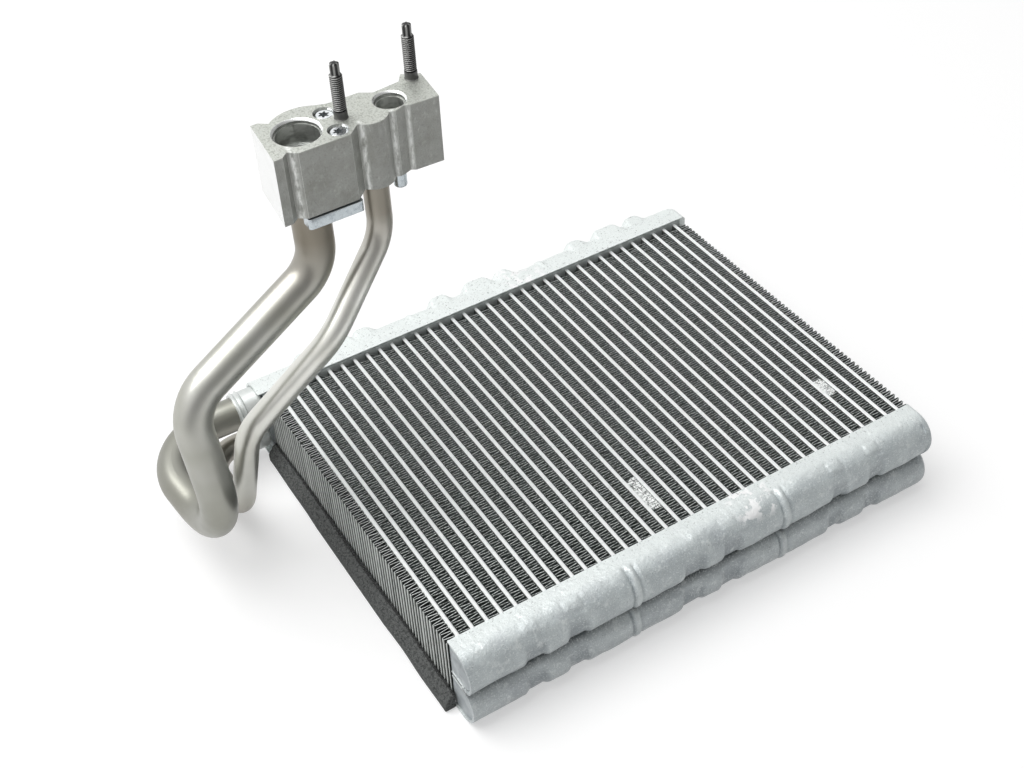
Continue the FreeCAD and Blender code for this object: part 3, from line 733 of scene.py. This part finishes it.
def bevelled_copy(node, name, width, angle, finish, edge_finish):
    """A merged copy of a CAD node with its sharp edges broken, which replaces it."""
    copy = bpy.data.objects.new(name, nodes[node].data.copy())
    bpy.context.scene.collection.objects.link(copy)
    copy.data.materials.clear()
    copy.data.materials.append(finish.material)
    copy.data.materials.append(edge_finish.material)
    select_only(copy)
    bpy.ops.object.mode_set(mode="EDIT")
    bpy.ops.mesh.select_all(action="SELECT")
    bpy.ops.mesh.remove_doubles(threshold=0.001 * mm)
    bpy.ops.mesh.dissolve_limited(angle_limit=math.radians(1))
    bpy.ops.object.mode_set(mode="OBJECT")
    edge = copy.modifiers.new("edge", "BEVEL")
    edge.material = 1
    edge.width = width
    edge.segments = 2
    edge.limit_method = "ANGLE"
    edge.angle_limit = math.radians(angle)
    edge.use_clamp_overlap = True
    edge.harden_normals = True
    apply_modifiers(copy)
    bpy.ops.object.shade_smooth_by_angle(angle=math.radians(25))
    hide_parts(node)
    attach(copy, "root")
    return copy


block_finish = Finish("sawn_block", shade(164, 165, 161), 0.80, 0.42)
block_finish.layer(block_finish.mottle(70, 0.45, 0.65, 3.0), shade(152, 153, 147))
block_finish.layer(block_finish.mottle(260, 0.55, 0.72, 5.0), shade(184, 186, 182), 0.6)
block_finish.layer(block_finish.mottle(1000, 0.52, 0.66, 4.0), shade(142, 143, 138), 0.5)
block_finish.layer(block_finish.mottle(600, 0.60, 0.70, 5.0, (1, 1, 0.4)), shade(200, 202, 198), 0.5)
sawn_top = block_finish.along("Z", 0.2392, 0.2397)
block_finish.layer(sawn_top, shade(202, 205, 198), 0.85)
pits = block_finish.combine("MULTIPLY", sawn_top, block_finish.mottle(1000, 0.50, 0.60, 4.0))
block_finish.layer(pits, shade(160, 163, 155), 0.8)
block_finish.relief(block_finish.mottle(1400, 0.3, 0.7, 3.0), 0.00010)
block_finish.rough(block_finish.mottle(240, 0.3, 0.7), 0.36, 0.52)
# where each painted highlight starts and ends along X, in millimetres, on faces turned to the light
highlight_bands = [(-95.4, -92.6), (-60.0, -57.4), (-43.6, -41.4), (-35.1, -33.3)]
in_front = block_finish.along("Y", 0.0365, 0.0355)
for start, end in highlight_bands:
    rising = block_finish.along("X", (start - 0.3) * mm, (start + 1.1) * mm)
    falling = block_finish.along("X", (end + 0.3) * mm, (end - 1.1) * mm)
    line = block_finish.combine("MULTIPLY", rising, falling)
    for limit in (in_front, block_finish.mottle(520, 0.36, 0.58, 5.0, (1, 1, 0.3))):
        line = block_finish.combine("MULTIPLY", line, limit)
    block_finish.layer(line, shade(248, 250, 247), 0.92)
broken_edge = Finish("broken_block_edge", shade(214, 216, 212), 0.80, 0.34)
broken_edge.layer(broken_edge.mottle(420, 0.50, 0.66, 4.0), shade(180, 182, 178), 0.8)
# the left faces: painted near white as lit, on a smoother finish
washed_out_side = Finish("washed_out_block_side", shade(250, 251, 250), 0.70, 0.22)
washed_out_side.layer(washed_out_side.mottle(90, 0.5, 0.7, 3.0), shade(240, 241, 239))
cut_ring = Finish("fresh_cut_ring", shade(250, 252, 250), 0.90, 0.24)
cut_ring.layer(cut_ring.mottle(700, 0.55, 0.7), shade(232, 235, 233))
block = bevelled_copy("connector_block", "block_body", 0.4 * mm, 35, block_finish, broken_edge)
block.data.materials.append(washed_out_side.material)
block.data.materials.append(cut_ring.material)
block_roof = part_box("connector_block")[1].z
# X and Y of each port's middle, and how far its chamfer reaches
port_mouths = [(-85.194 * mm, 43.75 * mm, 12.4 * mm), (-38.794 * mm, 43.75 * mm, 8.7 * mm)]
side_face, ring_face, wall_face = 2, 3, 4
port_wall = Finish("bored_port_wall", shade(178, 180, 176), 0.85, 0.38)
port_wall.layer(port_wall.mottle(300, 0.45, 0.7, 2.0, (0.6, 0.6, 1.2)), shade(138, 140, 136))
block.data.materials.append(port_wall.material)
for face in block.data.polygons:
    centre = face.center
    # faces turned to -X take the left faces' painted near white
    if face.normal.x < -0.75:
        face.material_index = side_face
    if abs(face.normal.z) > 0.99 or face.area > 60 * mm * mm:
        face.use_smooth = False
    for x, y, reach in port_mouths:
        if math.hypot(centre.x - x, centre.y - y) < reach:
            if centre.z < block_roof - 1.5 * mm:
                on_shelf = face.normal.z > 0.9 and centre.z < block_roof - 6 * mm
                face.material_index = ring_face if on_shelf else wall_face
            elif 0.3 < face.normal.z < 0.97:
                face.material_index = ring_face


# Retainer fork, its screws, the plug and the studs: steel parts, bright zinc or dark phosphate.
# The fork holds the suction pipe's bead in the block, and nuts on the studs hold the fitting.

zinc_finish = Finish("bright_zinc", shade(198, 206, 210), 0.90, 0.26)
zinc_finish.layer(zinc_finish.mottle(500, 0.5, 0.7), shade(172, 180, 186))
worn_zinc = Finish("worn_zinc_edge", shade(240, 244, 246), 0.90, 0.22)
worn_zinc.layer(worn_zinc.mottle(600, 0.55, 0.7), shade(210, 216, 220))
fork = bevelled_copy("retainer_fork", "fork_plate", 0.6 * mm, 35, zinc_finish, worn_zinc)
dress(zinc_finish, "port_plug")


def turned_piece(name, profile, rounds):
    """A profile of radius and height pairs, spun once round Z into a closed piece."""
    steps = [(b[0] - a[0], 0, b[1] - a[1]) for a, b in zip(profile, profile[1:])]
    piece = drawn_chain(name, (profile[0][0], 0, profile[0][1]), steps)
    bpy.ops.object.mode_set(mode="EDIT")
    bpy.ops.mesh.select_all(action="SELECT")
    bpy.ops.mesh.spin(steps=rounds, angle=2 * math.pi, center=(0, 0, 0), axis=(0, 0, 1))
    bpy.ops.mesh.select_all(action="SELECT")
    bpy.ops.mesh.remove_doubles(threshold=0.001 * mm)
    bpy.ops.mesh.normals_make_consistent(inside=False)
    bpy.ops.object.mode_set(mode="OBJECT")
    bpy.ops.object.shade_smooth_by_angle(angle=math.radians(30))
    return piece


def moved_to(piece, x, y, z):
    """Moves the mesh and leaves the object at the origin."""
    for vert in piece.data.vertices:
        vert.co += Vector((x, y, z))


def lobed(piece, above, inside, share):
    """Pushes what lies above that height and within that radius into six lobes."""
    for vert in piece.data.vertices:
        if vert.co.z > above and 0 < math.hypot(vert.co.x, vert.co.y) < inside:
            lobe = 1 + share * math.cos(6 * math.atan2(vert.co.y, vert.co.x))
            vert.co.x *= lobe
            vert.co.y *= lobe


screw_places = [(-68.494 * mm, 51.0 * mm), (-69.194 * mm, 34.8 * mm)]
screw_seat = block_roof - 4.0 * mm
screw_length = screw_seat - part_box("retainer_screws")[0].z
recess_radius = 2.1 * mm
screws = []
for x, y in screw_places:
    screw = turned_piece("screw_heads", [
        (0, -screw_length), (2.5 * mm, -screw_length), (2.5 * mm, 0), (4.3 * mm, 0),
        (4.3 * mm, 2.5 * mm), (3.6 * mm, 3.2 * mm), (recess_radius, 3.2 * mm),
        (0.9 * recess_radius, 0.9 * mm), (0, 0.6 * mm)], 48)
    lobed(screw, 1 * mm, 1.05 * recess_radius, 0.28)
    moved_to(screw, x, y, screw_seat)
    screws.append(screw)
select_only(screws[0])
screws[1].select_set(True)
bpy.ops.object.join()
screw_heads = bpy.context.active_object
recess_finish = Finish("shaded_recess", shade(160, 164, 166), 0.80, 0.36)
screw_heads.data.materials.append(worn_zinc.material)
screw_heads.data.materials.append(recess_finish.material)
for face in screw_heads.data.polygons:
    off_axis = min(math.hypot(face.center.x - x, face.center.y - y) for x, y in screw_places)
    if off_axis < 1.15 * recess_radius and screw_seat < face.center.z < screw_seat + 3.0 * mm:
        face.material_index = 1
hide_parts("retainer_screws")
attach(screw_heads, "root")

dark_finish = Finish("dark_phosphate", shade(52, 52, 52), 0.75, 0.42)
dark_finish.layer(dark_finish.mottle(900, 0.5, 0.7), shade(42, 42, 43))
# painted highlight on the thread crests, the collar and the point's lobes, over the dark phosphate
crest_highlight = dark_finish.combine("POWER", dark_finish.attribute("crest"), 2.2)
dark_finish.layer(crest_highlight, shade(168, 168, 166), 0.9)
thread_pitch = 1.0 * mm
thread_radius = 3.0 * mm
thread_depth = 0.62 * mm
thread_turns = 18
thread_start = 3.6 * mm
thread_end = 21.6 * mm
thread_fade = 0.8 * mm
collar_top = 4.0 * mm
point_start = 22.1 * mm
stud_height = 27.5 * mm
root = thread_radius - thread_depth
for node in ("stud_near", "stud_far"):
    low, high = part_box(node)
    seat = high.z - stud_height
    body = turned_piece(node + "_body", [
        (0, low.z - seat), (3.3 * mm, low.z - seat), (3.3 * mm, 0.2 * mm), (3.1 * mm, 0.4 * mm),
        (3.1 * mm, 3.6 * mm), (3.0 * mm, collar_top), (root, 4.1 * mm), (root, thread_end),
        (2.1 * mm, 22.2 * mm), (2.1 * mm, 26.9 * mm), (1.6 * mm, stud_height), (0, stud_height)], 48)
    lobed(body, point_start, thread_radius, 0.12)
    thread = drawn_chain("thread", (root, 0, thread_start),
                         [(thread_depth, 0, thread_pitch / 2), (-thread_depth, 0, thread_pitch / 2)])
    winding = thread.modifiers.new("winding", "SCREW")
    winding.screw_offset = thread_pitch
    winding.iterations = thread_turns
    winding.steps = 32
    winding.render_steps = 32
    winding.use_merge_vertices = True
    winding.merge_threshold = 0.005 * mm
    winding.use_smooth_shade = False
    apply_modifiers(thread)
    for vert in thread.data.vertices:
        if vert.co.z > thread_end:
            fade = max(0.0, 1 - (vert.co.z - thread_end) / thread_fade)
            radius = math.hypot(vert.co.x, vert.co.y)
            wanted = (root - 0.3 * mm) + (radius - root + 0.3 * mm) * fade
            vert.co.x *= wanted / radius
            vert.co.y *= wanted / radius
    bpy.ops.object.mode_set(mode="EDIT")
    bpy.ops.mesh.select_all(action="SELECT")
    bpy.ops.mesh.normals_make_consistent(inside=False)
    bpy.ops.object.mode_set(mode="OBJECT")
    body.select_set(True)
    bpy.context.view_layer.objects.active = body
    bpy.ops.object.join()
    # crest: where the painted highlight falls, on thread crests, collar and lobes
    crest = body.data.attributes.new("crest", "FLOAT", "POINT")
    for vert in body.data.vertices:
        height = (math.hypot(vert.co.x, vert.co.y) - root) / thread_depth
        on_thread = vert.co.z < 21.8 * mm
        height *= 0.5 if vert.co.z < collar_top else 1.0
        on_lobe = 0.5 + 0.5 * math.cos(6 * math.atan2(vert.co.y, vert.co.x))
        crest.data[vert.index].value = max(0.0, min(1.0, height if on_thread else on_lobe))
    moved_to(body, (low.x + high.x) / 2, (low.y + high.y) / 2, seat)
    body.data.materials.clear()
    body.data.materials.append(dark_finish.material)
    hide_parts(node)
    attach(body, "root")


# Foam strip: open black foam stuck along the core's left side, cut rough on top.
# It swells a little halfway along, and its top sinks towards both ends.

foam_finish = Finish("black_foam", shade(104, 106, 105), 0.0, 0.9)
foam_finish.layer(foam_finish.mottle(700, 0.45, 0.6), shade(72, 74, 73))
foam_finish.layer(foam_finish.attribute("open_top"), shade(36, 37, 37), 0.92)
foam_finish.layer(foam_finish.mottle(1300, 0.56, 0.64), shade(128, 130, 129), 0.65)
foam_finish.relief(foam_finish.mottle(1200, 0.3, 0.7), 0.0006)
foam = bpy.data.objects.new("foam_band", nodes["foam_strip"].data.copy())
bpy.context.scene.collection.objects.link(foam)
fine = foam.modifiers.new("fine", "REMESH")
fine.mode = "VOXEL"
fine.voxel_size = 0.8 * mm
apply_modifiers(foam)
foam_low, foam_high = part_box("foam_strip")
open_top = foam.data.attributes.new("open_top", "FLOAT", "POINT")
for vert in foam.data.vertices:
    open_top.data[vert.index].value = float(vert.co.z > foam_high.z - 1.0 * mm)
    place = vert.co.copy()
    open_side = min(1.0, (foam_high.x - place.x) / (2.0 * mm))
    wide = noise.noise(Vector((0, place.y * 28, 5)))
    rough = noise.noise_vector(place * 420)
    height = place.z / (foam_high.z - foam_low.z)
    taper = max(0.0, abs(place.y) / (foam_high.y - foam_low.y) * 2 - 0.55)
    bulge = 2.4 * math.exp(-(place.y / (30 * mm)) ** 2) * (1 - height * 0.6)
    vert.co.x += (wide * 1.1 - bulge + rough.x * 0.5 * height) * open_side * mm
    vert.co.x = max(vert.co.x, foam_low.x)
    vert.co.z += (rough.z * 0.8 * height - 4.0 * taper * height) * mm
    vert.co.z = max(vert.co.z, 0.0)
    vert.co.x = min(vert.co.x, foam_high.x)
bpy.ops.object.shade_smooth()
foam.data.materials.clear()
foam.data.materials.append(foam_finish.material)
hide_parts("foam_strip")
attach(foam, "root")


# Floor and light: a white sheet, one broad lamp from the upper left, and a pale surround
# that shiny faces see brighter on the lamp's side.

floor_reach = 4.0
bpy.ops.object.select_all(action="DESELECT")
bpy.ops.mesh.primitive_plane_add(size=floor_reach)
floor = bpy.context.active_object
floor.name = "floor"
floor_finish = Finish("white_floor", (0.55, 0.55, 0.55, 1), 0.0, 0.9)
seen = floor_finish.tree.nodes.new("ShaderNodeLightPath")
lift = floor_finish.combine("MAXIMUM", seen.outputs["Is Camera Ray"], seen.outputs["Is Glossy Ray"])
floor_finish.layer(seen.outputs["Is Camera Ray"], (0.60, 0.60, 0.60, 1))
floor_finish.surface.inputs["Emission Color"].default_value = (1, 1, 1, 1)
strength = floor_finish.combine("MULTIPLY", lift, 0.45)
floor_finish.tree.links.new(strength, floor_finish.surface.inputs["Emission Strength"])
floor.data.materials.append(floor_finish.material)

world = bpy.data.worlds.new("pale_surround")
bpy.context.scene.world = world
world.use_nodes = True
sky = world.node_tree.nodes["Background"]
sky.inputs["Color"].default_value = (1, 1, 1, 1)
sky_path = world.node_tree.nodes.new("ShaderNodeLightPath")
sky_way = world.node_tree.nodes.new("ShaderNodeTexCoord")
toward_window = world.node_tree.nodes.new("ShaderNodeVectorMath")
toward_window.operation = "DOT_PRODUCT"
toward_window.inputs[1].default_value = (-0.5, 0.55, 0.67)
window_glow = world.node_tree.nodes.new("ShaderNodeMapRange")
window_glow.inputs["From Min"].default_value = 0.05
window_glow.inputs["From Max"].default_value = 0.55
window_glow.inputs["To Min"].default_value = 0.34
unseen = world.node_tree.nodes.new("ShaderNodeMapRange")
unseen.inputs["To Min"].default_value = 0.30
sky_strength = world.node_tree.nodes.new("ShaderNodeMapRange")
join = world.node_tree.links.new
join(sky_way.outputs["Generated"], toward_window.inputs[0])
join(toward_window.outputs["Value"], window_glow.inputs["Value"])
join(sky_path.outputs["Is Glossy Ray"], unseen.inputs["Value"])
join(window_glow.outputs["Result"], unseen.inputs["To Max"])
join(sky_path.outputs["Is Camera Ray"], sky_strength.inputs["Value"])
join(unseen.outputs["Result"], sky_strength.inputs["To Min"])
join(sky_strength.outputs["Result"], sky.inputs["Strength"])


lit_place = Vector((0.02, 0.0, 0.05))
bpy.ops.object.light_add(type="AREA", location=(-1.1, 0.7, 2.8))
lamp = bpy.context.active_object
lamp.data.shape = "SQUARE"
lamp.data.size = 2.8
lamp.data.energy = 90
lamp.rotation_euler = (lit_place - lamp.location).to_track_quat("-Z", "Y").to_euler()


# Camera: above the near left corner, looking down across the core.
# Its place, turn and lens come from the camera that was fitted to the photo.

bpy.ops.object.camera_add(location=(-0.27533, -0.47102, 0.58232))
camera = bpy.context.active_object
camera.rotation_euler = [math.radians(turn) for turn in (47.218, 2.228, -31.66)]
camera.data.sensor_width = 36
camera.data.lens = 50.26
bpy.context.scene.camera = camera
bpy.context.scene.view_settings.view_transform = "Standard"
